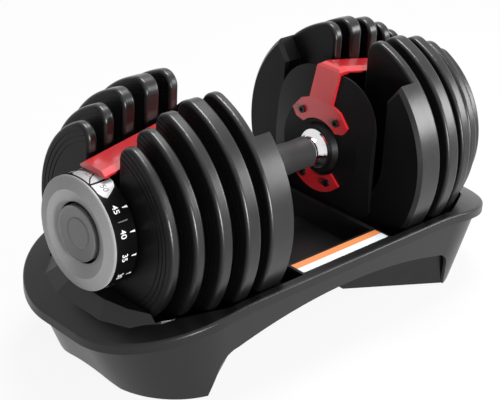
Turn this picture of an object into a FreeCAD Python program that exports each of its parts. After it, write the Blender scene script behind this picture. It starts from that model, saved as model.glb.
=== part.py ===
"""Adjustable dumbbell on its base tray.

Frame: origin on the floor under the middle of the base, +X along the handle, +Z up, millimetres.
Everything of the dumbbell is laid out from the middle of the handle outwards, so a station is a
distance along X from that middle. The +X half is modelled and the -X half is its mirror image.
"""
import FreeCAD
import Part

import math
import os

Vector = FreeCAD.Vector

# ---------------------------------------------------------------- driving dimensions
AXIS_H = 124.5          # handle axis above the floor
SEAT_GAP = 0.3          # a piece at rest to what it rests on
FIT = 0.05              # radial running clearance of shafts and pins

# plates, outermost first: radius, station of the outer face, thickness, weight in pounds
PLATES = [
    dict(radius=78.7, outer=173.8, thick=9.3, pounds=1.25),
    dict(radius=87.8, outer=158.4, thick=10.0, pounds=2.5),
    dict(radius=95.6, outer=140.6, thick=11.8, pounds=5.0),
    dict(radius=100.1, outer=119.6, thick=14.3, pounds=7.5),
    dict(radius=100.2, outer=96.1, thick=9.4, pounds=7.5),
]
SLOT_HALF = 17.5        # half width of the slot in every plate
EAR_RADIUS = 12.0       # rounding of the two ears beside the slot
PLATE_FILLET = 3.0
RIDGE_INSET = (6.0, 10.0, 14.0)   # fine concentric steps on a plate's outer face, in from its rim
RIDGE_WIDTH = 0.8
RIDGE_DEPTH = 0.5
PAD_THICK = 16.5        # the innermost plate's pad, inboard of its web
PAD_RECESS = 56.0       # half width of the pad's open middle
PAD_TOP_OUT_Y = 68.8     # outer and inner corners of the pad's two top faces
PAD_TOP_IN = (56.0, 56.0)

# selector
SHAFT_R = 9.0
ROD_R = 5.0
SHAFT_START = 66.0
SHAFT_END = 188.0
FLANGE_IN = 30.5
FLANGE_OUT = 33.0
DISC_WEB = 1.8
DISC_GAP = 0.55         # disc to the plates beside it
DISC_5_DEPTH = 8.2      # how far disc 5 reaches into the pad's recess
TAB_HALF = 3.5
TAB_HEIGHT = 5.6
TAB_DROP = 0.9          # tab's underside to the flange
SETTINGS = [5, 7.5, 10, 12.5, 15, 17.5, 20, 22.5, 25, 30, 35, 40, 45, 50, 52.5]
HANDLE_POUNDS = 5.0
WHEEL_R = 31.0
WHEEL_IN = 66.5
WHEEL_OUT = 69.2
NOTCH_DEPTH = 4.0
NOTCH_HALF = 2.4

# dial
DIAL_R = 44.5
DIAL_WALL = 3.0
DIAL_BACK = 176.5
DIAL_FACE = 200.0
SKIRT_END = 196.0
DIAL_WEB = (183.0, 186.0)
DIAL_HUB_R = 13.0
BEZEL_CREST_R = 34.0
BEZEL_IN_R = 24.0
CAP_R = 22.0
CAP_RING_R = 20.4
CAP_FLAT_R = 11.5

# handle
TUBE_R = 10.0
TUBE_BORE = 6.0
TUBE_END = 64.0
GRIP_END = 41.0
GRIP_R = (14.2, 12.8, 13.4)       # middle, waist, end
COLLAR = (41.2, 52.4)
COLLAR_R = (12.0, 11.2, 17.0)
PLATE_IN = 57.0                   # inner plate, inboard face
PLATE_OUT = 62.0
PLATE_RIM = 65.0                  # back of its thicker rim
PLATE_RIM_R = 48.0
PLATE_CONE = (42.0, 0.25)         # the face slopes back outside this radius, at this rate
INNER_HALF = 55.0
INNER_TOP = 66.5
INNER_BOTTOM_R = 70.0
INNER_CORNER_R = 40.0
RAISED_R = 22.0
RAISED = 4.5
RAISED_TIP_R = 19.5
HUB_R = 16.0
HUB_END = 65.5
GUIDE = (42.0, 45.0)              # slider guides, inner and outer |y|
GUIDE_HALF_H = 28.0
SPRING_SEAT = (54.0, 58.0)

# red bridge, brackets and their screws
BRACKET_THICK = 2.5
STEM_HALF = 13.0
SCREW_UP = (19.3, 28.8)
SCREW_LOW = (14.0, -27.5)
SCREW_HEAD_R = 3.2
SCREW_HEAD_H = 2.2
SCREW_R = 1.6
SCREW_DEPTH = 4.0
BAR_END = 183.5
BAR_START = 70.0                  # where the bar's straight slope begins
BAR_TOP = (72.5, 50.5)            # at that start and at the dial
BAR_THICK = 5.0
BAR_FLARE = 1.6                   # how much wider each side is at the dial
BAR_BEVEL = (4.5, 3.2)            # width and depth of the bevel along each long edge
BEND = ((0.7, 2.4), (2.3, 4.6), (5.5, 6.0))   # rounding of the bend, from the stem's top edge
HANGER = (174.4, 176.2)
HANGER_HALF = 8.0
HANGER_TOP = 50.0
BUSH_R = 11.0

# lock slider
SLIDER_HALF = 41.4
SLIDER_LEG = 6.0
SLIDER_TOP = 46.0
SLIDER_BOTTOM = -66.0
SLIDER_BAR = 7.0
TOOTH_TIP = 35.6
TOOTH_HALF = 2.0
SPRING_R = 2.6
SPRING_WIRE = 0.5

# base
RIM_H = 79.5            # rim above the floor along the middle
CROWN_FLAT = 100.0      # the rim is level out to here, then falls on an arc
CROWN_R = 289.0
RIM_L = 215.0
RIM_W = 100.0
RIM_CORNER = 80.0
LIP_H = 8.0
RIM_FILLET = 2.2         # rounding of the rim's upper edge
SKIN = 3.2
STAND_FOOT = (185.0, 87.0, 65.0)      # half length, half width, corner radius at the floor
STAND_TOP = (222.0, 96.4, 84.0)       # the same where the wall would meet the rim's level
STAND_WALL = 3.0
STAND_LIFT = 1.0        # stand's lower edge above the floor
ARCH_MID = 54.5
ARCH_SHOULDER = (116.0, 39.0)
ARCH_CORNER = (129.0, 32.5)
ARCH_SIDE = (133.5, 21.0)
ARCH_FOOT = 139.0
NOSE = (62.0, 36.0)     # inner end of the pedestal under each end, x and |y|
NOSE_ROOT = (147.0, 88.0)
END_ARCH_HALF = 38.0
END_ARCH_H = 7.0
TUB_IN = 51.0           # pocket, nearest and farthest station
TUB_OUT = 175.6
TUB_R = 103.0
TUB_CONE = 128.0
TUB_END_R = 84.4
TROUGH = (46.0, 74.0, 21.0)           # half length, half width, depth
CRADLE_FOOT = ((150, 81), (176, 75), (195, 62), (202, 30))
CRADLE_TOP = ((150, 80), (172, 66), (184, 42), (188.5, 20))
CRADLE_H = 75.0
CRADLE_LOW = 56.0
FOOT_AT = (158.0, 60.0)
FOOT_R = 9.0
FOOT_H = 4.0
FOOT_BOSS_R = 13.0
BASE_SCREW_AT = (178.0, 57.0)
SHELF = (36.0, 39.0)
SHELF_HALF = 12.0
POST_R = 5.5
LABEL_HALF = 48.5
LABEL_Y = (-90.5, -76.5)
LABEL_THICK = 0.3

# racks
RACK_SIDE = 0.8         # groove wall to the plate's face
RACK_TOP = 64.0         # above the floor
RIB_DEPTH = 12.0        # how far a rib stands in past the smaller plate beside it
SADDLE_RIB_R = 88.0
UNLOCK_HALF = 8.0
UNLOCK_ROOT = 92.0

LEFT, RIGHT = -1, 1
os.makedirs("parts", exist_ok=True)


# ---------------------------------------------------------------- helpers
def rod(start, end, radius):
    """Cylinder about the handle axis between two stations."""
    return Part.makeCylinder(radius, end - start, Vector(start, 0, AXIS_H), Vector(1, 0, 0))


def turned(profile):
    """Solid turned about the handle axis from (station, radius) points."""
    points = [Vector(x, 0, AXIS_H + r) for x, r in profile]
    face = Part.Face(Part.makePolygon(points + points[:1]))
    return face.revolve(Vector(0, 0, AXIS_H), Vector(1, 0, 0), 360)


def across(points, start, end):
    """Straight-sided slab: (y, height over the axis) points, from one station to another."""
    corners = [Vector(start, y, AXIS_H + z) for y, z in points]
    return Part.Face(Part.makePolygon(corners + corners[:1])).extrude(Vector(end - start, 0, 0))


def side_cut(points, half_width):
    """Slab across the width from (x, height over the floor) points."""
    corners = [Vector(x, -half_width, z) for x, z in points]
    return Part.Face(Part.makePolygon(corners + corners[:1])).extrude(Vector(0, 2 * half_width, 0))


def block(x0, x1, y0, y1, z0, z1):
    """Box between two corners, heights over the floor."""
    return Part.makeBox(x1 - x0, y1 - y0, z1 - z0, Vector(x0, y0, z0))


def arc(a, b, c):
    return Part.Arc(a, b, c).toShape()


def line(a, b):
    return Part.LineSegment(a, b).toShape()


def mirrored(points):
    """Points of one half outline followed by their mirror image in y, in order."""
    return list(points) + [(-y, z) for y, z in reversed(points)]


def rounded_wire(half_l, half_w, radius, z):
    """Rounded rectangle in plan at a height."""
    x, y, d = half_l - radius, half_w - radius, radius * math.sqrt(0.5)
    edges = []
    for i, (sx, sy) in enumerate([(1, 1), (-1, 1), (-1, -1), (1, -1)]):
        on_x = Vector(sx * half_l, sy * y, z)
        on_y = Vector(sx * x, sy * half_w, z)
        middle = Vector(sx * (x + d), sy * (y + d), z)
        start, end = (on_x, on_y) if i % 2 == 0 else (on_y, on_x)
        edges.append(arc(start, middle, end))
        nsx, nsy = [(-1, 1), (-1, -1), (1, -1), (1, 1)][i]
        if i % 2 == 0:
            following = Vector(nsx * x, nsy * half_w, z)
        else:
            following = Vector(nsx * half_l, nsy * y, z)
        edges.append(line(end, following))
    return Part.Wire(edges)


def rounded_block(half_l, half_w, radius, z0, z1):
    return Part.Face(rounded_wire(half_l, half_w, radius, z0)).extrude(Vector(0, 0, z1 - z0))


def under_crown(drop):
    """Everything below the rim's crowned surface, lowered by drop."""
    top = RIM_H - drop
    reach = RIM_L + 20
    fall = CROWN_R - math.sqrt(CROWN_R ** 2 - (reach - CROWN_FLAT) ** 2)
    half = (reach - CROWN_FLAT) / 2
    mid = CROWN_R - math.sqrt(CROWN_R ** 2 - half ** 2)
    wide = RIM_W + 20

    def at(x, z):
        return Vector(x, -wide, z)
    edges = [
        line(at(-CROWN_FLAT, top), at(CROWN_FLAT, top)),
        arc(at(CROWN_FLAT, top), at(CROWN_FLAT + half, top - mid), at(reach, top - fall)),
        line(at(reach, top - fall), at(reach, -5)),
        line(at(reach, -5), at(-reach, -5)),
        line(at(-reach, -5), at(-reach, top - fall)),
        arc(at(-reach, top - fall), at(-CROWN_FLAT - half, top - mid), at(-CROWN_FLAT, top)),
    ]
    return Part.Face(Part.Wire(edges)).extrude(Vector(0, 2 * wide, 0))


def other_side(shape):
    """Mirror image for the -X half."""
    return shape.mirror(Vector(0, 0, 0), Vector(1, 0, 0))


def both(shape):
    """A piece and its mirror image, as one group of separate solids."""
    return Part.makeCompound([shape, other_side(shape)])


def save(node, shape):
    """Write one node, as clean separate solids."""
    solids = [solid.removeSplitter() for solid in shape.Solids]
    for solid in solids:
        if not solid.isValid():
            print("not valid:", node)
    kept = solids[0] if len(solids) == 1 else Part.makeCompound(solids)
    kept.exportStep("parts/" + node + ".step")
    box = kept.BoundBox
    print("%-22s %d solids %9.1f cm3  x %.1f..%.1f  y %.1f..%.1f  z %.1f..%.1f" % (
        node, len(solids), kept.Volume / 1000, box.XMin, box.XMax, box.YMin, box.YMax, box.ZMin, box.ZMax))


def save_pair(name, shape):
    save(name + "_right", shape)
    save(name + "_left", other_side(shape))


# ---------------------------------------------------------------- weight plates
def plate_outline(radius, x):
    """Round outline with the slot open at the top, tangent all the way round."""
    ear_y = SLOT_HALF + EAR_RADIUS
    ear_z = math.sqrt((radius - EAR_RADIUS) ** 2 - ear_y ** 2)
    grow = radius / (radius - EAR_RADIUS)
    turn = (math.pi + math.atan2(ear_z, ear_y)) / 2

    def at(y, z):
        return Vector(x, y, AXIS_H + z)
    tip = (ear_y + EAR_RADIUS * math.cos(turn), ear_z + EAR_RADIUS * math.sin(turn))
    edges = [
        arc(at(ear_y * grow, ear_z * grow), at(0, -radius), at(-ear_y * grow, ear_z * grow)),
        arc(at(-ear_y * grow, ear_z * grow), at(-tip[0], tip[1]), at(-SLOT_HALF, ear_z)),
        line(at(-SLOT_HALF, ear_z), at(-SLOT_HALF, 0)),
        arc(at(-SLOT_HALF, 0), at(0, -SLOT_HALF), at(SLOT_HALF, 0)),
        line(at(SLOT_HALF, 0), at(SLOT_HALF, ear_z)),
        arc(at(SLOT_HALF, ear_z), at(*tip), at(ear_y * grow, ear_z * grow)),
    ]
    return Part.Wire(edges)


def edges_at(shape, x):
    """Edges that lie wholly at one station."""
    return [e for e in shape.Edges if abs(e.BoundBox.XMin - x) < 1e-4 and abs(e.BoundBox.XMax - x) < 1e-4]


def plate_inner(plate):
    return plate["outer"] - plate["thick"]


def plate_body(plate):
    inner = plate_inner(plate)
    body = Part.Face(plate_outline(plate["radius"], inner)).extrude(Vector(plate["thick"], 0, 0))
    body = body.makeFillet(PLATE_FILLET, edges_at(body, inner) + edges_at(body, plate["outer"]))
    for inset in RIDGE_INSET:
        ring = rod(plate["outer"] - RIDGE_DEPTH, plate["outer"] + 1, plate["radius"] - inset)
        ring = ring.cut(rod(plate["outer"] - 1, plate["outer"] + 1, plate["radius"] - inset - RIDGE_WIDTH))
        body = body.cut(ring)
    return body


def plate_tab(plate, web_end):
    """The tab that the selector disc's flange lifts, on the plate's inboard face."""
    low = -(FLANGE_IN - TAB_DROP)
    high = low + TAB_HEIGHT
    corners = [(-TAB_HALF, low), (TAB_HALF, low), (TAB_HALF, high), (-TAB_HALF, high)]
    return across(corners, web_end + DISC_GAP, plate_inner(plate) + 1)


def pad():
    """Thick horseshoe on the innermost plate's inboard face, open upwards around the selector."""
    plate = PLATES[-1]
    inner = plate_inner(plate) - PAD_THICK
    radius = plate["radius"]
    out_y, out_z = PAD_TOP_OUT_Y, math.sqrt(radius ** 2 - PAD_TOP_OUT_Y ** 2)

    def at(y, z):
        return Vector(inner, y, AXIS_H + z)
    edges = [
        arc(at(out_y, out_z), at(0, -radius), at(-out_y, out_z)),
        line(at(-out_y, out_z), at(-PAD_TOP_IN[0], PAD_TOP_IN[1])),
        line(at(-PAD_TOP_IN[0], PAD_TOP_IN[1]), at(-PAD_RECESS, 0)),
        arc(at(-PAD_RECESS, 0), at(0, -PAD_RECESS), at(PAD_RECESS, 0)),
        line(at(PAD_RECESS, 0), at(PAD_TOP_IN[0], PAD_TOP_IN[1])),
        line(at(PAD_TOP_IN[0], PAD_TOP_IN[1]), at(out_y, out_z)),
    ]
    solid = Part.Face(Part.Wire(edges)).extrude(Vector(PAD_THICK + plate["thick"] / 2, 0, 0))
    return solid.makeChamfer(PLATE_FILLET, edges_at(solid, inner))


# ---------------------------------------------------------------- selector
def disc_span(index):
    """Stations of a selector disc: inboard face of its web, and the free end of its flange."""
    plate = PLATES[index]
    free = plate_inner(plate) - DISC_GAP
    if index + 1 < len(PLATES):
        return PLATES[index + 1]["outer"] + DISC_GAP, free
    return free - DISC_5_DEPTH, free


def carried(pounds):
    """Which plates a setting lifts, chosen from the heaviest down."""
    load = (pounds - HANDLE_POUNDS) / 2
    chosen = set()
    for index in reversed(range(len(PLATES))):
        if PLATES[index]["pounds"] <= load + 1e-6:
            load -= PLATES[index]["pounds"]
            chosen.add(index)
    return chosen


def pie(start, end, x0, x1, reach):
    """Wedge about the axis between two angles, counted from straight down."""
    steps = max(2, int(math.ceil((end - start) / 12.0)))
    rim = [start + (end - start) * i / steps for i in range(steps + 1)]
    turns = [math.radians(a) for a in rim]
    points = [(0, 0)] + [(reach * math.sin(a), -reach * math.cos(a)) for a in turns]
    return across(points, x0, x1)


def selector_disc(index):
    """Thin disc with an axial flange only where its plate is to be lifted."""
    start, free = disc_span(index)
    disc = rod(start, start + DISC_WEB, FLANGE_OUT).fuse(rod(start, free, FLANGE_OUT).cut(
        rod(start, free, FLANGE_IN)))
    disc = disc.cut(rod(start, free, SHAFT_R))
    pitch = 360.0 / len(SETTINGS)
    last = len(SETTINGS) - 1
    for number, pounds in enumerate(SETTINGS):
        if index not in carried(pounds):
            middle = (number - last) * pitch
            gap = pie(middle - pitch / 2, middle + pitch / 2, start + DISC_WEB, free, 2 * FLANGE_OUT)
            disc = disc.cut(gap)
    return disc


def index_wheel():
    wheel = rod(WHEEL_IN, WHEEL_OUT, WHEEL_R).cut(rod(WHEEL_IN, WHEEL_OUT, SHAFT_R))
    for number in range(len(SETTINGS)):
        notch = across([(-NOTCH_HALF, WHEEL_R + 1), (NOTCH_HALF, WHEEL_R + 1), (0, WHEEL_R - NOTCH_DEPTH)],
                       WHEEL_IN, WHEEL_OUT)
        notch.rotate(Vector(0, 0, AXIS_H), Vector(1, 0, 0), number * 360.0 / len(SETTINGS))
        wheel = wheel.cut(notch)
    return wheel


def dial_knob():
    web_in, web_out = DIAL_WEB
    inside = DIAL_R - DIAL_WALL
    return turned([
        (DIAL_BACK, DIAL_R - 0.8), (DIAL_BACK + 0.8, DIAL_R), (SKIRT_END, DIAL_R), (SKIRT_END, inside),
        (web_out, inside), (web_out, DIAL_HUB_R), (SHAFT_END, DIAL_HUB_R), (SHAFT_END, SHAFT_R),
        (DIAL_BACK + 1.5, SHAFT_R), (DIAL_BACK + 1.5, DIAL_HUB_R), (web_in, DIAL_HUB_R),
        (web_in, inside), (DIAL_BACK, inside)])


def dial_bezel():
    seat = SKIRT_END - 1.6
    inside = DIAL_R - DIAL_WALL
    return turned([
        (seat, BEZEL_IN_R), (seat, inside - 0.1), (SKIRT_END, inside - 0.1), (SKIRT_END, DIAL_R),
        (DIAL_FACE - 2.6, DIAL_R), (DIAL_FACE - 2.0, DIAL_R - 0.8), (DIAL_FACE - 0.2, BEZEL_CREST_R + 1.2),
        (DIAL_FACE, BEZEL_CREST_R + 0.4), (DIAL_FACE - 0.3, BEZEL_CREST_R - 0.4),
        (DIAL_FACE - 4.4, BEZEL_IN_R)])


def dial_cap():
    web = DIAL_WEB[1]
    crown = DIAL_FACE - 3.0
    return turned([
        (web, CAP_R - 2.4), (web, CAP_R), (crown + 1.0, CAP_R), (crown + 1.6, CAP_R - 0.5),
        (crown + 1.0, CAP_RING_R), (crown - 0.6, CAP_FLAT_R + 0.8), (crown - 0.6, CAP_FLAT_R + 0.4),
        (crown, CAP_FLAT_R), (crown, 0), (crown - 1.9, 0), (crown - 2.4, CAP_RING_R - 2.0),
        (crown - 4.4, CAP_R - 2.4)])


# ---------------------------------------------------------------- handle
def cone_station(radius):
    """Station of the inner plate's face, which leans back outside a radius."""
    start, rate = PLATE_CONE
    return PLATE_IN + rate * max(0.0, radius - start)


def inner_plate():
    """Black moulded plate at each end of the grip, with the hub, guides and spring seat behind it."""
    low = math.sqrt(INNER_BOTTOM_R ** 2 - INNER_HALF ** 2)
    flat, side = INNER_HALF - INNER_CORNER_R, INNER_TOP - INNER_CORNER_R
    diagonal = INNER_CORNER_R * math.sqrt(0.5)

    def at(y, z):
        return Vector(PLATE_IN, y, AXIS_H + z)
    edges = [
        line(at(-flat, INNER_TOP), at(flat, INNER_TOP)),
        arc(at(flat, INNER_TOP), at(flat + diagonal, side + diagonal), at(INNER_HALF, side)),
        line(at(INNER_HALF, side), at(INNER_HALF, -low)),
        arc(at(INNER_HALF, -low), at(0, -INNER_BOTTOM_R), at(-INNER_HALF, -low)),
        line(at(-INNER_HALF, -low), at(-INNER_HALF, side)),
        arc(at(-INNER_HALF, side), at(-flat - diagonal, side + diagonal), at(-flat, INNER_TOP)),
    ]
    body = Part.Face(Part.Wire(edges)).extrude(Vector(PLATE_RIM - PLATE_IN, 0, 0))
    body = body.cut(rod(PLATE_OUT, PLATE_RIM + 1, PLATE_RIM_R))
    body = body.cut(block(PLATE_OUT, PLATE_RIM + 1, -2 * SPRING_R, 2 * SPRING_R,
                          AXIS_H, AXIS_H + SPRING_SEAT[0]))
    start, far = PLATE_CONE[0], 2 * INNER_BOTTOM_R
    body = body.cut(turned([(PLATE_IN - 1, start), (PLATE_IN, start), (cone_station(far), far),
                            (PLATE_IN - 1, far)]))
    body = body.fuse(turned([(PLATE_IN - RAISED, 0), (PLATE_IN - RAISED, RAISED_TIP_R), (PLATE_IN, RAISED_R),
                             (PLATE_IN + 1, RAISED_R), (PLATE_IN + 1, 0)]))
    body = body.fuse(rod(PLATE_OUT - 1, HUB_END, HUB_R))
    for sign in (-1, 1):
        low_y, high_y = sorted((sign * GUIDE[0], sign * GUIDE[1]))
        low_z, high_z = AXIS_H - GUIDE_HALF_H, AXIS_H + GUIDE_HALF_H
        body = body.fuse(block(PLATE_OUT - 1, WHEEL_OUT, low_y, high_y, low_z, high_z))
    body = body.fuse(block(PLATE_OUT - 1, WHEEL_OUT, -UNLOCK_HALF, UNLOCK_HALF,
                           AXIS_H + SPRING_SEAT[0], AXIS_H + SPRING_SEAT[1]))
    body = body.cut(rod(PLATE_IN - RAISED, HUB_END, TUBE_R))
    return drilled(body)


def screw_places():
    return [(sign * y, z) for y, z in (SCREW_UP, SCREW_LOW) for sign in (-1, 1)]


def drilled(shape):
    """Holes for the four bracket screws."""
    face = PLATE_IN - BRACKET_THICK
    for y, z in screw_places():
        start = Vector(face, y, AXIS_H + z)
        shape = shape.cut(Part.makeCylinder(SCREW_R + FIT, BRACKET_THICK + SCREW_DEPTH, start,
                                            Vector(1, 0, 0)))
    return shape


def bracket_screws():
    face = PLATE_IN - BRACKET_THICK
    screws = []
    for y, z in screw_places():
        outwards = Vector(1, 0, 0)
        crown = Vector(face - SCREW_HEAD_H, y, AXIS_H + z)
        neck = Vector(face - 0.1, y, AXIS_H + z)
        head = Part.makeCylinder(SCREW_HEAD_R, SCREW_HEAD_H, crown, outwards)
        shank = Part.makeCylinder(SCREW_R, BRACKET_THICK + SCREW_DEPTH, neck, outwards)
        socket = Part.makeCylinder(SCREW_R, SCREW_HEAD_H * 0.6, Vector(face - SCREW_HEAD_H, y, AXIS_H + z),
                                   Vector(1, 0, 0))
        screws.append(head.fuse(shank).cut(socket))
    return screws


def bar_plan():
    """Plan of the bar: straight over the inner plate, then a little wider towards the dial."""
    wide = STEM_HALF + BAR_FLARE
    half = [(0, STEM_HALF), (BAR_START, STEM_HALF), (BAR_END, wide)]
    points = half + [(x, -y) for x, y in reversed(half)]
    corners = [Vector(x, y, AXIS_H) for x, y in points]
    return Part.Face(Part.makePolygon(corners + corners[:1])).extrude(Vector(0, 0, 2 * AXIS_H))


def bevel_cutters(side):
    """Wedges along one long edge of the bar: a level one over the inner plate, then a sloping one."""
    width, depth = BAR_BEVEL
    top = AXIS_H + BAR_TOP[0]
    inner, outer = side * (STEM_HALF - width), side * (STEM_HALF + 2 * width)
    points = [(inner, top), (side * STEM_HALF, top - depth), (outer, top - depth), (outer, top + 2 * depth),
              (inner, top + 2 * depth)]
    corners = [Vector(BAR_START, y, z) for y, z in points]
    wedge = Part.Face(Part.makePolygon(corners + corners[:1]))
    slope = Vector(BAR_END - BAR_START, side * BAR_FLARE, BAR_TOP[1] - BAR_TOP[0])
    level = Vector(PLATE_OUT - BAR_START - 1, 0, 0)
    return [wedge.extrude(level), wedge.extrude(slope * 1.1)]


def bridge():
    """Red bracket on the inner plate that bends over its top into the bar above the plates."""
    front = PLATE_IN - BRACKET_THICK
    reach = RAISED_R + 4.0
    side = 18.0
    low = math.sqrt(reach ** 2 - side ** 2)

    def at(y, z):
        return Vector(front, y, AXIS_H + z)
    right = [(side, low), (26.5, 20.5), (31.6, 27.5), (22.0, 38.5), (STEM_HALF, 42.0),
             (STEM_HALF, PLATE_CONE[0] + 0.5)]
    outline = mirrored(right)
    edges = [line(at(*outline[i]), at(*outline[i + 1])) for i in range(len(outline) - 1)]
    edges.append(arc(at(*outline[-1]), at(0, reach), at(*outline[0])))
    bracket = Part.Face(Part.Wire(edges)).extrude(Vector(BRACKET_THICK, 0, 0))
    over = INNER_TOP + SEAT_GAP
    fold = PLATE_CONE[0]
    crest = (cone_station(over) - BRACKET_THICK, over)
    profile = [(front, fold - 1), (front, fold), crest]
    profile += [(crest[0] + run, crest[1] + rise) for run, rise in BEND]
    profile += [(BAR_START, BAR_TOP[0]), (BAR_END, BAR_TOP[1]), (BAR_END, BAR_TOP[1] - BAR_THICK),
                (BAR_START + 2, BAR_TOP[0] - BAR_THICK), (BAR_START, over), (cone_station(over), over),
                (PLATE_IN, fold), (PLATE_IN, fold - 1)]
    bar = side_cut([(x, AXIS_H + z) for x, z in profile], STEM_HALF + BAR_FLARE)
    bar = bar.common(bar_plan())
    for side in (-1, 1):
        for cutter in bevel_cutters(side):
            bar = bar.cut(cutter)
    bar = bar.fuse(bracket)
    slot = across(mirrored([(HANGER_HALF, 0), (HANGER_HALF, HANGER_TOP)]), *HANGER)
    bar = bar.cut(slot)
    return drilled(bar)


def lower_bracket():
    """Red crescent under the collar."""
    face = PLATE_IN - BRACKET_THICK

    def at(y, z):
        return Vector(face, y, AXIS_H + z)
    edges = [
        arc(at(-26.5, -27.0), at(0, -39.0), at(26.5, -27.0)),
        line(at(26.5, -27.0), at(16.5, -18.5)),
        arc(at(16.5, -18.5), at(0, -RAISED_R - 2.5), at(-16.5, -18.5)),
        line(at(-16.5, -18.5), at(-26.5, -27.0)),
    ]
    return drilled(Part.Face(Part.Wire(edges)).extrude(Vector(BRACKET_THICK, 0, 0)))


def grip():
    middle, waist, end = GRIP_R
    profile = [(-GRIP_END, TUBE_R), (-GRIP_END, end - 1)]
    steps = 12
    for i in range(steps + 1):
        x = -GRIP_END + 1 + 2 * (GRIP_END - 1) * i / steps
        share = abs(x) / (GRIP_END - 1)
        bulge = (middle - waist) * math.cos(min(share / 0.7, 1) * math.pi / 2) ** 2
        flare = (end - waist) * max(0.0, share - 0.7) / 0.3
        profile.append((x, waist + bulge + flare))
    profile += [(GRIP_END, end - 1), (GRIP_END, TUBE_R)]
    return turned(profile)


def grip_collar():
    start, end = COLLAR
    neck, waist, wide = COLLAR_R
    return turned([(start, TUBE_R), (start, neck - 0.6), (start + 0.6, neck), (start + 2.4, neck),
                   (start + 3.4, waist), (start + 5.4, waist + 0.6), (start + 7.6, waist + 2.4),
                   (start + 9.4, wide - 1.4), (start + 10.2, wide), (end, wide), (end, TUBE_R)])


def end_hanger():
    plate = across(mirrored([(HANGER_HALF, 0.0), (HANGER_HALF, HANGER_TOP)]), *HANGER)
    plate = plate.fuse(rod(HANGER[0], HANGER[1], BUSH_R + 4))
    return plate.cut(rod(HANGER[0], HANGER[1], BUSH_R))


def shaft_bushes():
    outer = rod(HANGER[0], HANGER[1], BUSH_R).cut(rod(HANGER[0], HANGER[1], SHAFT_R + FIT))
    inner = rod(TUBE_END - 6, TUBE_END, TUBE_BORE).fuse(rod(TUBE_END, HUB_END, TUBE_R - 1))
    return [outer, inner.cut(rod(TUBE_END - 6, HUB_END, ROD_R + FIT))]


def axle_nut():
    points = [(7.5 * math.cos(math.radians(60 * i)), 7.5 * math.sin(math.radians(60 * i))) for i in range(6)]
    start = SHAFT_END + SEAT_GAP
    return across(points, start, start + 4.5).cut(rod(start, start + 4.5, ROD_R))


def lock_slider():
    """Frame around the index wheel, with the tooth that drops towards its notches."""
    legs = SLIDER_HALF - SLIDER_LEG
    frame = across([(-SLIDER_HALF, SLIDER_BOTTOM), (SLIDER_HALF, SLIDER_BOTTOM), (SLIDER_HALF, SLIDER_TOP),
                    (-SLIDER_HALF, SLIDER_TOP)], WHEEL_IN, WHEEL_OUT)
    low, high = SLIDER_BOTTOM + SLIDER_BAR, SLIDER_TOP - SLIDER_BAR
    frame = frame.cut(across([(-legs, low), (legs, low), (legs, high), (-legs, high)], WHEEL_IN, WHEEL_OUT))
    tooth = [(-TOOTH_HALF, high + 1), (TOOTH_HALF, high + 1), (0, TOOTH_TIP)]
    return frame.fuse(across(tooth, WHEEL_IN, WHEEL_OUT))


def lock_spring():
    """Coil between the slider and the seat behind the inner plate."""
    low = AXIS_H + SLIDER_TOP + SPRING_WIRE + 0.05
    high = AXIS_H + SPRING_SEAT[0] - SPRING_WIRE - 0.05
    turns = 4
    helix = Part.makeHelix((high - low) / turns, high - low, SPRING_R)
    section = Part.Wire(Part.makeCircle(SPRING_WIRE, Vector(SPRING_R, 0, 0), Vector(0, 1, 0)))
    coil = Part.Wire(helix).makePipeShell([section], True, True)
    coil.translate(Vector((WHEEL_IN + WHEEL_OUT) / 2, 0, low))
    return coil


# ---------------------------------------------------------------- base
def tub_profile(grow):
    """Half section of a plate pocket, grown by a wall."""
    return [(TUB_IN - grow, 0), (TUB_IN - grow, TUB_R + grow), (TUB_CONE, TUB_R + grow),
            (TUB_OUT + grow, TUB_END_R + grow), (TUB_OUT + grow, 0)]


def cradle():
    """Drafted block under the dial that closes the outer end of the pocket."""
    def ring(points, z):
        corners = [Vector(x, y, z) for x, y in points] + [Vector(x, -y, z) for x, y in reversed(points)]
        return Part.makePolygon(corners + corners[:1])
    return Part.makeLoft([ring(CRADLE_FOOT, CRADLE_LOW), ring(CRADLE_TOP, CRADLE_H)], True, True)


def is_upright(edge):
    return edge.BoundBox.XLength < 0.01 and edge.BoundBox.YLength < 0.01


def base_tray():
    deck = rounded_block(RIM_L, RIM_W, RIM_CORNER, 10, RIM_H + 5)
    deck = deck.common(under_crown(0))
    top_edges = [e for e in deck.Edges if e.BoundBox.ZMin > RIM_H / 2 and not is_upright(e)]
    deck = deck.makeFillet(RIM_FILLET, top_edges).cut(under_crown(LIP_H))
    inside = rounded_block(RIM_L - SKIN, RIM_W - SKIN, RIM_CORNER - SKIN, 10, RIM_H)
    deck = deck.cut(inside.common(under_crown(SKIN)))
    half_l, half_w, depth = TROUGH
    deck = deck.fuse(block(-half_l - SKIN, half_l + SKIN, -half_w - SKIN, half_w + SKIN,
                           RIM_H - depth - SKIN, RIM_H - 1))
    for side in (LEFT, RIGHT):
        tub = turned(tub_profile(SKIN)).common(under_crown(1))
        raised = cradle()
        posts = []
        for sign in (-1, 1):
            x, y = BASE_SCREW_AT
            posts.append(Part.makeCylinder(POST_R, 40, Vector(x, sign * y, SHELF[1])).common(under_crown(1)))
        for piece in [tub, raised] + posts:
            deck = deck.fuse(piece if side == RIGHT else other_side(piece))
    for side in (LEFT, RIGHT):
        hole = turned(tub_profile(0))
        deck = deck.cut(hole if side == RIGHT else other_side(hole))
        for sign in (-1, 1):
            x, y = BASE_SCREW_AT
            deck = deck.cut(Part.makeCylinder(SCREW_R + 0.5 + FIT, 16, Vector(side * x, sign * y, SHELF[1])))
    return deck.cut(block(-half_l, half_l, -half_w, half_w, RIM_H - depth, RIM_H + 5))


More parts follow.
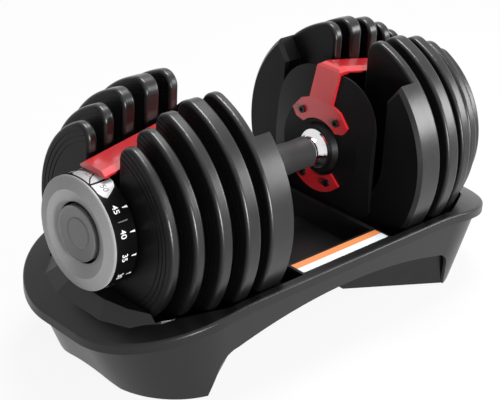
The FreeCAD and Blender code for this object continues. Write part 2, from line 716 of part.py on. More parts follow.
def stand_loft(inset):
    low = [STAND_FOOT[0] - inset, STAND_FOOT[1] - inset, STAND_FOOT[2] - inset]
    high = [STAND_TOP[0] - inset, STAND_TOP[1] - inset, STAND_TOP[2] - inset]
    return Part.makeLoft([rounded_wire(*low, STAND_LIFT), rounded_wire(*high, RIM_H)], True, True)


def side_arch():
    def at(x, z):
        return Vector(x, -RIM_W - 20, z)
    sx, sz = ARCH_SHOULDER
    cx, cz = ARCH_CORNER
    ex, ez = ARCH_SIDE
    edges = [
        arc(at(-sx, sz), at(0, ARCH_MID), at(sx, sz)),
        arc(at(sx, sz), at(cx, cz), at(ex, ez)),
        line(at(ex, ez), at(ARCH_FOOT, -2)),
        line(at(ARCH_FOOT, -2), at(-ARCH_FOOT, -2)),
        line(at(-ARCH_FOOT, -2), at(-ex, ez)),
        arc(at(-ex, ez), at(-cx, cz), at(-sx, sz)),
    ]
    return Part.Face(Part.Wire(edges)).extrude(Vector(0, 2 * RIM_W + 40, 0))


def nose_walls():
    """Inner wall of a pedestal: a blunt wedge in plan, open towards the end."""
    def prism(shift):
        nx, ny = NOSE
        rx, ry = NOSE_ROOT
        points = [(nx + shift, ny - shift * 0.55), (rx + shift * 1.2, ry), (rx + shift * 1.2, -ry),
                  (nx + shift, -ny + shift * 0.55)]
        corners = [Vector(x, y, STAND_LIFT) for x, y in points]
        return Part.Face(Part.makePolygon(corners + corners[:1])).extrude(Vector(0, 0, RIM_H))
    return prism(0).cut(prism(STAND_WALL))


def base_stand():
    outer = stand_loft(0)
    shell = outer.cut(stand_loft(STAND_WALL)).cut(side_arch())
    for side in (LEFT, RIGHT):
        pieces = [nose_walls()]
        for sign in (-1, 1):
            x, y = FOOT_AT
            pieces.append(Part.makeCylinder(FOOT_BOSS_R, 8, Vector(x, sign * y, STAND_LIFT)))
            x, y = BASE_SCREW_AT
            near, far = sign * y - SHELF_HALF, sign * y + SHELF_HALF
            pieces.append(block(x - SHELF_HALF, x + SHELF_HALF + 14, near, far, *SHELF))
        for piece in pieces:
            piece = piece.common(outer)
            shell = shell.fuse(piece if side == RIGHT else other_side(piece))
    for side in (LEFT, RIGHT):
        clear = turned(tub_profile(SKIN + SEAT_GAP))
        shell = shell.cut(clear if side == RIGHT else other_side(clear))
        for sign in (-1, 1):
            x, y = FOOT_AT
            shell = shell.cut(Part.makeCylinder(FOOT_R, FOOT_H, Vector(side * x, sign * y, 0)))
            x, y = BASE_SCREW_AT
            hole = Vector(side * x, sign * y, SHELF[0] - 4)
            shell = shell.cut(Part.makeCylinder(SCREW_R + 0.5 + FIT, 12, hole))
    edges = [arc(Vector(-RIM_L - 20, -END_ARCH_HALF, 0), Vector(-RIM_L - 20, 0, END_ARCH_H),
                 Vector(-RIM_L - 20, END_ARCH_HALF, 0)),
             line(Vector(-RIM_L - 20, END_ARCH_HALF, 0), Vector(-RIM_L - 20, -END_ARCH_HALF, 0))]
    arch = Part.Face(Part.Wire(edges)).extrude(Vector(80, 0, 0))
    block_under_dial = cradle()
    shell = shell.cut(arch).cut(other_side(arch)).cut(block_under_dial).cut(other_side(block_under_dial))
    return shell.common(under_crown(SKIN + SEAT_GAP))


def base_screws():
    radius = SCREW_R + 0.5
    x, y = BASE_SCREW_AT
    shapes = []
    for side in (LEFT, RIGHT):
        for sign in (-1, 1):
            head = Part.makeCylinder(2 * radius, 2.5, Vector(side * x, sign * y, SHELF[0] - 2.5))
            neck = Vector(side * x, sign * y, SHELF[0] - 0.1)
            shapes.append(head.fuse(Part.makeCylinder(radius, 16, neck)))
    return Part.makeCompound(shapes)


def rubber_feet():
    x, y = FOOT_AT
    return Part.makeCompound([Part.makeCylinder(FOOT_R, FOOT_H, Vector(sx * x, sy * y, 0))
                              for sx in (-1, 1) for sy in (-1, 1)])


def plate_rack():
    """Ribbed liner of a pocket: a groove under each plate and a saddle under the inner plate."""
    def wall(x):
        if x <= TUB_CONE:
            return TUB_R - SEAT_GAP
        share = (x - TUB_CONE) / (TUB_OUT - TUB_CONE)
        return TUB_R - SEAT_GAP + (TUB_END_R - TUB_R) * share
    start, end = TUB_IN + SEAT_GAP, TUB_OUT - SEAT_GAP
    profile = [(start, INNER_BOTTOM_R - 8), (PLATE_IN - RACK_SIDE, INNER_BOTTOM_R - 8),
               (PLATE_IN - RACK_SIDE, INNER_BOTTOM_R + SEAT_GAP), (HUB_END - 1, INNER_BOTTOM_R + SEAT_GAP),
               (HUB_END - 1, SADDLE_RIB_R)]
    stops = [(plate_inner(p), p["outer"], p["radius"]) for p in reversed(PLATES)]
    stops[0] = (stops[0][0] - PAD_THICK, stops[0][1], stops[0][2])
    rib = SADDLE_RIB_R
    for number, (inner, outer, radius) in enumerate(stops):
        profile += [(inner - RACK_SIDE, rib), (inner - RACK_SIDE, radius + SEAT_GAP),
                    (outer + RACK_SIDE, radius + SEAT_GAP)]
        if number + 1 < len(stops):
            rib = min(radius, stops[number + 1][2]) - RIB_DEPTH
            profile.append((outer + RACK_SIDE, rib))
    profile += [(end, stops[-1][2] + SEAT_GAP), (end, wall(end)), (TUB_CONE, wall(TUB_CONE)),
                (start, wall(start))]
    rack = turned(profile).common(block(0, RIM_L, -RIM_W, RIM_W, 0, RACK_TOP))
    return rack.cut(unlock_post())


def unlock_post():
    low = AXIS_H - UNLOCK_ROOT
    high = AXIS_H + SLIDER_BOTTOM - SEAT_GAP
    return block(HUB_END - 0.2, WHEEL_OUT, -UNLOCK_HALF, UNLOCK_HALF, low, high)


def tray_label():
    return block(-LABEL_HALF, LABEL_HALF, LABEL_Y[0], LABEL_Y[1], RIM_H, RIM_H + LABEL_THICK)


# ---------------------------------------------------------------- build
for position, plate in enumerate(PLATES):
    disc_start, _ = disc_span(position)
    body = plate_body(plate)
    if position == len(PLATES) - 1:
        body = body.fuse(pad())
    body = body.fuse(plate_tab(plate, disc_start + DISC_WEB))
    save_pair("plate_%d" % (position + 1), body)
    save_pair("selector_disc_%d" % (position + 1), selector_disc(position))

save_pair("index_wheel", index_wheel())
shaft_bore = rod(SHAFT_START, SHAFT_END, ROD_R + FIT)
save_pair("selector_shaft", rod(SHAFT_START, SHAFT_END, SHAFT_R).cut(shaft_bore))
save_pair("dial_knob", dial_knob())
save_pair("dial_bezel", dial_bezel())
save_pair("dial_cap", dial_cap())

save_pair("inner_plate", inner_plate())
save_pair("bridge", bridge())
save_pair("end_hanger", end_hanger())
save_pair("lock_slider", lock_slider())
save_pair("lock_spring", lock_spring())
save("lower_brackets", both(lower_bracket()))
save("bracket_screws", both(Part.makeCompound(bracket_screws())))
save("shaft_bushes", both(Part.makeCompound(shaft_bushes())))
save("handle_tube", rod(-TUBE_END, TUBE_END, TUBE_R).cut(rod(-TUBE_END, TUBE_END, TUBE_BORE)))
save("handle_grip", grip())
save("grip_collars", both(grip_collar()))
save("axle_rod", rod(-SHAFT_END - 6, SHAFT_END + 6, ROD_R))
save("axle_nuts", both(axle_nut()))

save("base_stand", base_stand())
save("base_tray", base_tray())
save_pair("plate_rack", plate_rack())
save("unlock_tabs", both(unlock_post()))
save("rubber_feet", rubber_feet())
save("base_screws", base_screws())
save("tray_label", tray_label())
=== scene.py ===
# %% [markdown]
# # An adjustable dumbbell on its base tray
# The dumbbell is two stacks of slotted weight plates on a short grip, with a dial at each end.
# It rests in a footed tray. The construction arrives as a finished frame of solids, and this
# notebook adds what the eye sees: finishes, a soft rubber one on the grip among them, numbers on the dials and
# small trim.

# %% Load the frame
import math

import bpy
import mathutils
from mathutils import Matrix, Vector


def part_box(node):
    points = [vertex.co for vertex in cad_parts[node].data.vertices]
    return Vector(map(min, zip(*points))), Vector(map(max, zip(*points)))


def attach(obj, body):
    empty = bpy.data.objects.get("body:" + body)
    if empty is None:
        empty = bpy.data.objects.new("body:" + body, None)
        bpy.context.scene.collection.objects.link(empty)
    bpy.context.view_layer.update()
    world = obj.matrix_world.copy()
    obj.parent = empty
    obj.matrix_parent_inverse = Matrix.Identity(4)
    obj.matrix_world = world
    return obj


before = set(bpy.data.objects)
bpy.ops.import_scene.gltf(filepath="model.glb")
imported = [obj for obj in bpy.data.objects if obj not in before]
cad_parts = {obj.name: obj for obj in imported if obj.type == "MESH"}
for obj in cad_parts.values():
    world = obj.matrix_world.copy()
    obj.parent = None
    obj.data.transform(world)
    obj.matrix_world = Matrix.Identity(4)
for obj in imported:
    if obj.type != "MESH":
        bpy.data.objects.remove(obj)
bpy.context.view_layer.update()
MM = 0.001
SIDES = {"left": -1, "right": 1}

# %% [markdown]
# ## Measures taken from the frame
# The axis height, the dial's radius and the boxes of the grip and the strip come from the solids, so a piece
# lands where its neighbour really is.
# `node_box` gives a node's lowest and highest corner, in metres.

# %% Measures
def node_box(name):
    low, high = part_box(name)
    return mathutils.Vector(low), mathutils.Vector(high)


knob_low, knob_high = node_box("dial_knob_right")
AXIS_H = (knob_low.z + knob_high.z) / 2
DIAL_R = (knob_high.z - knob_low.z) / 2
grip_low, grip_high = node_box("handle_grip")
label_low, label_high = node_box("tray_label")
print("axis height %.4f, dial radius %.4f" % (AXIS_H, DIAL_R))

# %% [markdown]
# ## Camera
# A long lens a little over a metre away looks down over the near corner. The camera is placed by
# its angles round a target, so the view can be read off: 45 degrees round, 26 degrees up. A small
# roll tips the picture, as a hand-held camera does.

# %% Camera
CAMERA_AZIMUTH = math.radians(-44.7)
CAMERA_ELEVATION = math.radians(26.3)
CAMERA_ROLL = math.radians(3.1)
CAMERA_DISTANCE = 1.2
CAMERA_TARGET = mathutils.Vector((-0.0175, 0.004, 0.0955))
LENS_MM = 105.2


def view_axes(azimuth, elevation):
    """Forward, right and up of a camera that looks from an azimuth and an elevation."""
    level = math.cos(elevation)
    forward = mathutils.Vector((-math.sin(azimuth) * level, math.cos(azimuth) * level, -math.sin(elevation)))
    right = mathutils.Vector((math.cos(azimuth), math.sin(azimuth), 0))
    return forward, right, right.cross(forward)


forward, right, up = view_axes(CAMERA_AZIMUTH, CAMERA_ELEVATION)
bpy.ops.object.camera_add(location=CAMERA_TARGET - forward * CAMERA_DISTANCE)
camera = bpy.context.object
rolled_right = right * math.cos(CAMERA_ROLL) + up * math.sin(CAMERA_ROLL)
rolled_up = up * math.cos(CAMERA_ROLL) - right * math.sin(CAMERA_ROLL)
turn = mathutils.Matrix((rolled_right, rolled_up, -forward)).transposed()
camera.rotation_euler = turn.to_euler()
camera.data.lens = LENS_MM
bpy.context.scene.camera = camera
print("camera at", tuple(round(v, 3) for v in camera.location))

# %% [markdown]
# ## Shader maths as Python
# Wiring Math nodes by hand is slow to read. The class below wraps a socket, so that an
# expression such as `1 - mask * 0.5` adds the nodes. `Shader.node` makes any other node.

# %% Socket wrapper
class Wire:
    """An output socket that can be added, multiplied and so on; each step adds a Math node."""

    def __init__(self, shader, socket):
        self.shader = shader
        self.socket = socket

    def _math(self, operation, *values):
        return self.shader.node("ShaderNodeMath", {"operation": operation}, dict(enumerate(values)))

    def __add__(self, other):
        return self._math("ADD", self, other)

    def __radd__(self, other):
        return self._math("ADD", other, self)

    def __sub__(self, other):
        return self._math("SUBTRACT", self, other)

    def __rsub__(self, other):
        return self._math("SUBTRACT", other, self)

    def __mul__(self, other):
        return self._math("MULTIPLY", self, other)

    def __rmul__(self, other):
        return self._math("MULTIPLY", other, self)

    def __truediv__(self, other):
        return self._math("DIVIDE", self, other)

    def __gt__(self, other):
        return self._math("GREATER_THAN", self, other)

    def __lt__(self, other):
        return self._math("LESS_THAN", self, other)

    def apply(self, operation, *others):
        return self._math(operation, self, *others)


class Shader:
    """A material's node tree with a Principled shader, and a short way to add nodes to it."""

    def __init__(self, name):
        self.material = bpy.data.materials.new(name)
        self.material.use_nodes = True
        self.tree = self.material.node_tree
        self.surface = self.tree.nodes["Principled BSDF"]

    def node(self, kind, settings=None, inputs=None, output=0):
        """Add a node: settings first, then values or links of its sockets, by name or number."""
        made = self.tree.nodes.new(kind)
        for key, value in (settings or {}).items():
            if key == "stops":
                self._stops(made.color_ramp, value)
            else:
                setattr(made, key, value)
        for key, value in (inputs or {}).items():
            self._feed(made.inputs[key], value)
        return Wire(self, made.outputs[output])

    def _stops(self, ramp, stops):
        while len(ramp.elements) < len(stops):
            ramp.elements.new(0.5)
        for element, (position, level) in zip(ramp.elements, stops):
            element.position = position
            element.color = (level, level, level, 1) if isinstance(level, (int, float)) else (*level, 1)

    def _feed(self, socket, value):
        if isinstance(value, Wire):
            self.tree.links.new(value.socket, socket)
        else:
            socket.default_value = value

    def place(self):
        return self.node("ShaderNodeTexCoord", output="Object")

    def noise(self, scale, detail=3.0, rough=0.55, vector=None):
        vector = vector or self.place()
        return self.node("ShaderNodeTexNoise", {"noise_dimensions": "3D"},
                         {"Vector": vector, "Scale": scale, "Detail": detail, "Roughness": rough})

    def ramp(self, value, stops):
        return self.node("ShaderNodeValToRGB", {"stops": stops}, {0: value})

    def mix(self, factor, a, b):
        """Blend two colours by a mask."""
        a = (*a, 1) if isinstance(a, tuple) else a
        b = (*b, 1) if isinstance(b, tuple) else b
        return self.node("ShaderNodeMix", {"data_type": "RGBA"}, {0: factor, 6: a, 7: b}, output=2)

    def bump(self, height, strength, distance, normal=None):
        inputs = {"Height": height, "Strength": strength, "Distance": distance}
        if normal:
            inputs["Normal"] = normal
        return self.node("ShaderNodeBump", None, inputs)

    def parts(self):
        """The three coordinates of the place, for patterns that follow the shape."""
        split = self.tree.nodes.new("ShaderNodeSeparateXYZ")
        self.tree.links.new(self.place().socket, split.inputs[0])
        return [Wire(self, split.outputs[i]) for i in range(3)]

    def set(self, **sockets):
        """Feed the Principled shader; underscores in names stand for spaces."""
        for key, value in sockets.items():
            self._feed(self.surface.inputs[key.replace("_", " ")], value)
        return self.material


# %% [markdown]
# ## Moulded black plastic
# Nearly everything dark here is moulded with a fine spark-eroded grain. The grain is far too
# small to model, so it is a bump from two noises: a fine one for the grain and a broad, faint
# one for the slight waviness of a moulded wall. Handling polishes patches, which is a roughness
# change and hardly a colour change. Rims are rubbed more often than faces, so a mask from the
# surface's own direction gives the rims a thin gloss coat and leaves the faces matt.

# %% Moulded plastic
GRAIN_SCALE = 2600.0
WAVE_SCALE = 22.0
PATCH_SCALE = 60.0


def rim_mask(shader):
    """1 where the surface is a rim, facing away from the long axis, and 0 on the flat faces."""
    split = shader.tree.nodes.new("ShaderNodeSeparateXYZ")
    normal = shader.node("ShaderNodeTexCoord", output="Normal")
    shader.tree.links.new(normal.socket, split.inputs[0])
    facing = Wire(shader, split.outputs[0]).apply("ABSOLUTE")
    return shader.ramp(facing, [(0.45, 1.0), (0.95, 0.0)])


def moulded(name, colour, roughness, grain=0.12, specular=0.35, polish=0.08, rim_coat=0.0):
    shader = Shader(name)
    patches = shader.noise(PATCH_SCALE, 4.0)
    dust = shader.noise(PATCH_SCALE * 6, 5.0, 0.65)
    light = tuple(min(1.0, c * 1.4 + 0.001) for c in colour)
    fine = shader.bump(shader.noise(GRAIN_SCALE, 2.0), grain, 0.0002)
    wavy = shader.bump(shader.noise(WAVE_SCALE, 1.0), 0.05, 0.002, fine)
    if rim_coat:
        rubbed = Wire(shader, rim_mask(shader).socket) * (0.7 + patches * 0.6)
        shader.set(Coat_Weight=rubbed * rim_coat, Coat_Roughness=0.30)
    return shader.set(
        Base_Color=shader.mix(dust * patches, colour, light),
        Roughness=roughness + (patches - 0.5) * polish + (dust - 0.5) * 0.05,
        Specular_IOR_Level=specular, Normal=wavy)


plate_coat = moulded("plate_coat", (0.0045, 0.0045, 0.0048), 0.38, specular=0.14, rim_coat=0.7)
tray_plastic = moulded("tray_plastic", (0.006, 0.006, 0.0063), 0.34, specular=0.34)
handle_plastic = moulded("handle_plastic", (0.004, 0.004, 0.0042), 0.42, specular=0.16)
dial_plastic = moulded("dial_plastic", (0.0025, 0.0025, 0.0026), 0.30, grain=0.08, specular=0.12)
rack_plastic = moulded("rack_plastic", (0.002, 0.002, 0.002), 0.6, specular=0.08)
foot_rubber = moulded("foot_rubber", (0.008, 0.008, 0.008), 0.75, specular=0.15)
grip_rubber = moulded("grip_rubber", (0.030, 0.030, 0.031), 0.5, specular=0.3)

# %% [markdown]
# ## Red enamelled bars
# The bridge over the plates is glossy red. A thin clear coat over a slightly rough red gives the
# two highlights of real enamel, and a faint orange-peel wave keeps the reflection from being
# a mirror's.

# %% Red enamel
def enamel(name, colour, deep):
    shader = Shader(name)
    drift = shader.noise(40.0, 3.0)
    peel = shader.bump(shader.noise(520.0, 2.0), 0.06, 0.0003)
    return shader.set(Base_Color=shader.mix(drift, colour, deep), Roughness=0.34 + drift * 0.08,
                      Coat_Weight=1.0, Coat_Roughness=0.14, Normal=peel)


bridge_red = enamel("bridge_red", (0.64, 0.014, 0.022), (0.52, 0.010, 0.016))

# %% [markdown]
# ## Metals
# The collars are polished chrome. The dial's bezel is turned: fine rings run round its axis, so
# the bump follows the distance from that axis, not the place alone.

# %% Chrome and turned silver
def chrome(name):
    shader = Shader(name)
    smear = shader.noise(90.0, 4.0)
    return shader.set(Base_Color=shader.mix(smear, (0.80, 0.80, 0.81), (0.70, 0.70, 0.72)), Metallic=1.0,
                      Roughness=0.07 + smear * 0.08)


def from_axis(shader):
    """Distance of the place from the handle's axis."""
    _, across, height = shader.parts()
    height = height - AXIS_H
    return (across * across + height * height).apply("SQRT")


def turned_metal(name, colour, roughness, ring_pitch, metal=1.0):
    shader = Shader(name)
    radius = from_axis(shader)
    rings = (radius * (2 * math.pi / ring_pitch)).apply("SINE")
    fine = shader.noise(900.0, 3.0)
    tone = shader.ramp(fine, [(0.3, tuple(c * 0.9 for c in colour)), (0.7, colour)])
    return shader.set(Base_Color=tone, Metallic=metal, Roughness=roughness + (fine - 0.5) * 0.12,
                      Normal=shader.bump(rings, 0.12, 0.00008))


collar_chrome = chrome("collar_chrome")
bezel_silver = turned_metal("bezel_silver", (0.34, 0.34, 0.345), 0.40, 0.0006, metal=0.0)
plain_steel = turned_metal("plain_steel", (0.45, 0.45, 0.46), 0.38, 0.0011)
bronze = turned_metal("bronze", (0.50, 0.34, 0.16), 0.45, 0.0009)
screw_black = turned_metal("screw_black", (0.05, 0.05, 0.052), 0.40, 0.0005)
cap_grey = moulded("cap_grey", (0.15, 0.15, 0.154), 0.40, grain=0.05, specular=0.4)

# %% [markdown]
# ## Two-tone strip
# A plain printed strip lies on the tray's near rim: orange along the inner edge and bluish white
# along the outer. The edge between them is a step on the depth coordinate, softened over a
# tenth of a millimetre. Nothing is written on it.

# %% Strip
def printed_strip():
    shader = Shader("printed_strip")
    _, depth, _ = shader.parts()
    middle = (label_low.y + label_high.y) / 2
    inner = ((depth - middle) / (0.1 * MM)).apply("MULTIPLY", 1.0).apply("MAXIMUM", 0.0).apply("MINIMUM", 1.0)
    scuff = shader.noise(300.0, 5.0, 0.7)
    orange = shader.mix(scuff, (0.80, 0.30, 0.10), (0.70, 0.22, 0.07))
    white = shader.mix(scuff, (0.82, 0.87, 0.92), (0.70, 0.76, 0.82))
    return shader.set(Base_Color=shader.mix(inner, white, orange), Roughness=0.35 + scuff * 0.1)


strip_print = printed_strip()

# %% [markdown]
# ## Finishes on the frame's own solids
# Where the construction already has the right shape, only its finish is missing. A table pairs
# each node's name with its material; the material goes into every slot of that node.

# %% Assign finishes
def finish(name, material):
    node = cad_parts[name]
    if not node.material_slots:
        node.data.materials.append(material)
    for slot in node.material_slots:
        slot.material = material


FINISHES = {
    "plate_": plate_coat, "selector_disc_": rack_plastic, "index_wheel_": rack_plastic,
    "selector_shaft_": plain_steel, "dial_knob_": dial_plastic, "dial_bezel_": bezel_silver,
    "dial_cap_": cap_grey, "inner_plate_": handle_plastic, "bridge_": bridge_red,
    "end_hanger_": plain_steel, "lock_slider_": plain_steel, "lock_spring_": plain_steel,
    "plate_rack_": rack_plastic, "lower_brackets": bridge_red, "bracket_screws": screw_black,
    "shaft_bushes": bronze, "handle_tube": plain_steel, "handle_grip": grip_rubber,
    "grip_collars": collar_chrome, "axle_": plain_steel, "base_stand": tray_plastic,
    "base_tray": tray_plastic, "unlock_tabs": rack_plastic, "rubber_feet": foot_rubber,
    "base_screws": screw_black, "tray_label": strip_print,
}
for node_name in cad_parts:
    matches = [key for key in FINISHES if node_name.startswith(key)]
    finish(node_name, FINISHES[max(matches, key=len)])
print("finished", len(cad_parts), "nodes")

# %% [markdown]
# ## Numbers on the dials
# The dial's skirt carries plain weight numbers, one every 24 degrees, each with a short tick
# towards the plates. Text is made flat, turned into a mesh, and then wrapped: its height becomes
# an angle round the axis, and its width runs along the axis.

# %% Dial numbers
SETTINGS = [5, 7.5, 10, 12.5, 15, 17.5, 20, 22.5, 25, 30, 35, 40, 45, 50, 52.5]
PITCH = 2 * math.pi / len(SETTINGS)
NUMBER_SIZE = 7.0 * MM
TICK_LONG = 4.6 * MM
TICK_WIDE = 1.7 * MM
PRINT_LIFT = 0.06 * MM
WHITE_PRINT = moulded("white_print", (0.80, 0.80, 0.80), 0.5, grain=0.02)
print("numbers every %.1f degrees" % math.degrees(PITCH))


def deselect():
    if bpy.context.object and bpy.context.object.mode != "OBJECT":
        bpy.ops.object.mode_set(mode="OBJECT")
    bpy.ops.object.select_all(action="DESELECT")


def flat_text(words, size):
    """Text as a flat mesh centred on its own origin."""
    deselect()
    bpy.ops.object.text_add(location=(0, 0, 0))
    text = bpy.context.object
    text.data.body = words
    text.data.size = size
    text.data.align_x = "CENTER"
    text.data.align_y = "CENTER"
    text.data.offset = size * 0.012
    bpy.ops.object.convert(target="MESH")
    return bpy.context.object


def wrap_on_dial(piece, side, station, angle, lift):
    """Lay a flat piece round the dial, its top towards the plates and its right along the rim."""
    radius = DIAL_R + lift
    for point in piece.data.vertices:
        around = angle - side * point.co.x / radius
        along = side * (station - point.co.y)
        point.co = (along, math.cos(around) * radius, AXIS_H + math.sin(around) * radius)


def joined(pieces, name):
    """Join mesh pieces into one object with a plain name, at the origin."""
    deselect()
    for piece in pieces:
        piece.select_set(True)
    bpy.context.view_layer.objects.active = pieces[0]
    if len(pieces) > 1:
        bpy.ops.object.join()
    whole = bpy.context.object
    whole.name = name
    whole.data.name = name
    return whole


def painted(piece, material):
    piece.data.materials.clear()
    piece.data.materials.append(material)
    return piece


# %% [markdown]
# A tick is a small wedge, wide at the plates and narrow at the number. It starts as a plane, and
# one edge is drawn in. Each dial carries its own copy of everything, so the two turn freely.

# %% Print the skirts
NUMBER_STATION = 188.6 * MM
TICK_STATION = 180.2 * MM
# Place and size of a lone thin grey stroke between the 40 and 45 numbers.
STROKE_STATION = 186.2 * MM
STROKE_LONG = 8.5 * MM
STROKE_WIDE = 1.1 * MM


def flat_wedge(length, wide, narrow):
    """A flat wedge that points down the page."""
    deselect()
    bpy.ops.mesh.primitive_plane_add(size=1, location=(0, 0, 0))
    wedge = bpy.context.object
    bpy.ops.object.mode_set(mode="EDIT")
    bpy.ops.mesh.select_all(action="SELECT")
    bpy.ops.transform.resize(value=(wide, length, 1))
    bpy.ops.object.mode_set(mode="OBJECT")
    for point in wedge.data.vertices:
        if point.co.y < 0:
            point.co.x *= narrow / wide
    return wedge


def top_angle(index):
    """Where the setting with this index stands, with the heaviest one at the top."""
    return math.pi / 2 + (len(SETTINGS) - 1 - index) * PITCH


def number_words(pounds):
    return ("%.1f" % pounds) if pounds % 1 else "%d" % pounds


for side_name, side in SIDES.items():
    marks = []
    for index, pounds in enumerate(SETTINGS):
        if pounds < 50:
            digits = flat_text(number_words(pounds), NUMBER_SIZE * (0.8 if pounds % 1 else 1.0))
            wrap_on_dial(digits, side, NUMBER_STATION, top_angle(index), PRINT_LIFT)
            tick = flat_wedge(TICK_LONG, TICK_WIDE, TICK_WIDE * 0.35)
            wrap_on_dial(tick, side, TICK_STATION, top_angle(index), PRINT_LIFT)
            marks += [digits, tick]
    print_left = painted(joined(marks, "dial_numbers_" + side_name), WHITE_PRINT)
    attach(print_left, "selector_" + side_name)
    print(print_left.name, len(print_left.data.vertices), "points")

# %% [markdown]
# ## Silver petals round the heaviest settings
# The two heaviest settings stand on thin silver inlays like petals. Each starts as a grid. A short
# table says where the inlay begins and ends round the dial at a few stations along it, and the
# grid's points are spread between those two edges. Solidify then gives the film its thickness.

# %% Petals
FILM_THICK = 0.25 * MM
PETAL_COLUMNS = 24
PETAL_ROWS = 20
PETALS = [
    [(176.5, 81, 88.0), (179, 75.5, 88.5), (184, 72.5, 91), (190, 72, 96), (193, 75, 100.5), (194.6, 81, 103)],
    [(176.5, 89.5, 101.5), (180, 90.5, 102.7), (185, 93.5, 103.5), (190, 98, 104), (193.6, 103.4, 104)],
    [(176.5, 105.4, 110), (179, 105.8, 116), (184, 106.3, 120.5), (190, 106.6, 125), (193, 106.5, 122),
     (194.6, 106.2, 117)],
]
silver_film = turned_metal("silver_film", (0.52, 0.52, 0.53), 0.36, 0.0009, metal=0.15)
grey_marks = moulded("grey_marks", (0.14, 0.14, 0.14), 0.5, grain=0.02)


def between(table, station):
    """The two edges of a petal at a station, straight between the table's rows."""
    for (start, low_a, high_a), (end, low_b, high_b) in zip(table, table[1:]):
        if station <= end:
            share = (station - start) / (end - start)
            return low_a + (low_b - low_a) * share, high_a + (high_b - high_a) * share
    return table[-1][1:]


def petal(table, side):
    deselect()
    bpy.ops.mesh.primitive_grid_add(x_subdivisions=PETAL_COLUMNS, y_subdivisions=PETAL_ROWS, size=1)
    film = bpy.context.object
    first, last = table[0][0], table[-1][0]
    radius = DIAL_R + PRINT_LIFT
    for point in film.data.vertices:
        station = first + (last - first) * (point.co.y + 0.5)
        low, high = between(table, station)
        around = math.radians(low + (high - low) * (point.co.x + 0.5))
        point.co = (side * station * MM, math.cos(around) * radius, AXIS_H + math.sin(around) * radius)
    bpy.ops.object.mode_set(mode="EDIT")
    bpy.ops.mesh.select_all(action="SELECT")
    bpy.ops.mesh.normals_make_consistent(inside=False)
    bpy.ops.object.mode_set(mode="OBJECT")
    bpy.ops.object.modifier_add(type="SOLIDIFY")
    thicken = film.modifiers[-1]
    thicken.thickness = FILM_THICK
    thicken.offset = 1.0
    bpy.ops.object.modifier_apply(modifier=thicken.name)
    return film


for side_name, side in SIDES.items():
    films = painted(joined([petal(table, side) for table in PETALS], "dial_petals_" + side_name), silver_film)
    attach(films, "selector_" + side_name)
    grey = []
    for index, pounds in enumerate(SETTINGS):
        if pounds >= 50:
            digits = flat_text(number_words(pounds), NUMBER_SIZE * (0.8 if pounds % 1 else 1.0))
            wrap_on_dial(digits, side, NUMBER_STATION - 1.5 * MM, top_angle(index), PRINT_LIFT * 2 + FILM_THICK)
            grey.append(digits)
    # One thin grey wedge, lighter than the black skirt, lies halfway between the 40 and 45 numbers on each
    # dial; it joins the grey digits.
    lone_stroke = flat_wedge(STROKE_LONG, STROKE_WIDE, STROKE_WIDE * 0.5)
    wrap_on_dial(lone_stroke, side, STROKE_STATION, top_angle(SETTINGS.index(40)) - PITCH / 2, PRINT_LIFT)
    grey.append(lone_stroke)
    grey = painted(joined(grey, "dial_grey_print_" + side_name), grey_marks)
    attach(grey, "selector_" + side_name)
    print(films.name, len(films.data.polygons), "faces")

# %% [markdown]
# ## Floor, light and background
# The floor is plain and pale. It looks pure white to the camera and in reflections, but it is
# darker to bounced light, so the black tray keeps its depth. One large soft lamp from the front
# right makes the plates' rims and the tray's near wall read; a second from above lifts the tops.

# %% Floor
FLOOR_SIZE = 8.0


def seen_or_bounced(tree, seen):
    """A factor that is 1 to the camera, to mirrors and through glass."""
    path = tree.nodes.new("ShaderNodeLightPath")
    most = tree.nodes.new("ShaderNodeMath")
    most.operation = "MAXIMUM"
    tree.links.new(path.outputs["Is Camera Ray"], most.inputs[0])
    tree.links.new(path.outputs["Is Glossy Ray"], most.inputs[1])
    last = tree.nodes.new("ShaderNodeMath")
    last.operation = "MAXIMUM"
    tree.links.new(most.outputs[0], last.inputs[0])
    tree.links.new(path.outputs["Is Transmission Ray"], last.inputs[1])
    return last.outputs[0]


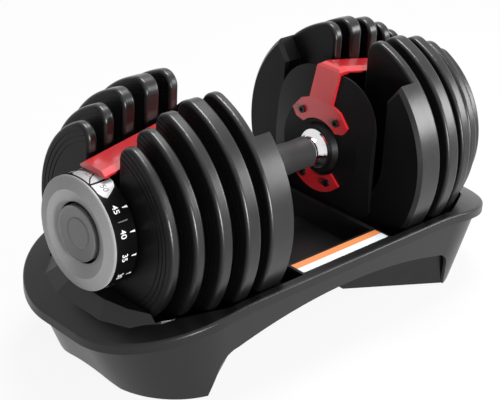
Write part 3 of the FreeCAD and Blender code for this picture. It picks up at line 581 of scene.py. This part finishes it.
deselect()
bpy.ops.mesh.primitive_grid_add(x_subdivisions=8, y_subdivisions=8, size=FLOOR_SIZE, location=(0, 0, 0))
floor = bpy.context.object
floor.name = "floor"
floor_shader = Shader("floor_white")
floor_shader.set(Base_Color=(0.80, 0.80, 0.80, 1), Roughness=0.9, Specular_IOR_Level=0.1)
tree = floor_shader.tree
glow = tree.nodes.new("ShaderNodeEmission")
glow.inputs["Strength"].default_value = 1.0
mixer = tree.nodes.new("ShaderNodeMixShader")
factor = tree.nodes.new("ShaderNodeMath")
factor.operation = "MULTIPLY"
factor.inputs[1].default_value = 0.9
tree.links.new(seen_or_bounced(tree, 1.0), factor.inputs[0])
tree.links.new(factor.outputs[0], mixer.inputs[0])
tree.links.new(floor_shader.surface.outputs[0], mixer.inputs[1])
tree.links.new(glow.outputs[0], mixer.inputs[2])
tree.links.new(mixer.outputs[0], tree.nodes["Material Output"].inputs["Surface"])
painted(floor, floor_shader.material)

world = bpy.data.worlds.new("studio")
bpy.context.scene.world = world
world.use_nodes = True
sky = world.node_tree.nodes["Background"]
sky.inputs["Color"].default_value = (1, 1, 1, 1)
level = world.node_tree.nodes.new("ShaderNodeMath")
level.operation = "MULTIPLY_ADD"
level.inputs[1].default_value = 0.86
level.inputs[2].default_value = 0.14
world.node_tree.links.new(seen_or_bounced(world.node_tree, 1.0), level.inputs[0])
world.node_tree.links.new(level.outputs[0], sky.inputs["Strength"])


# %% Lamps
def lamp(name, place, target, size, power):
    deselect()
    bpy.ops.object.light_add(type="AREA", location=place)
    made = bpy.context.object
    made.name = name
    made.data.shape = "RECTANGLE"
    made.data.size, made.data.size_y = size
    made.data.energy = power
    aim = mathutils.Vector(target) - mathutils.Vector(place)
    made.rotation_euler = aim.to_track_quat("-Z", "Y").to_euler()
    return made


lamp("key_right", (0.85, -0.75, 0.50), (0.1, 0, 0.10), (0.45, 0.45), 8)
lamp("front_graze", (-0.38, -1.5, 0.30), (-0.2, 0, 0.12), (0.35, 0.4), 24)
lamp("top_soft", (0.35, 0.15, 1.6), (0, 0, 0.1), (0.7, 0.5), 24)
bpy.context.scene.view_settings.view_transform = "Standard"
print("floor, world and lamps are ready")
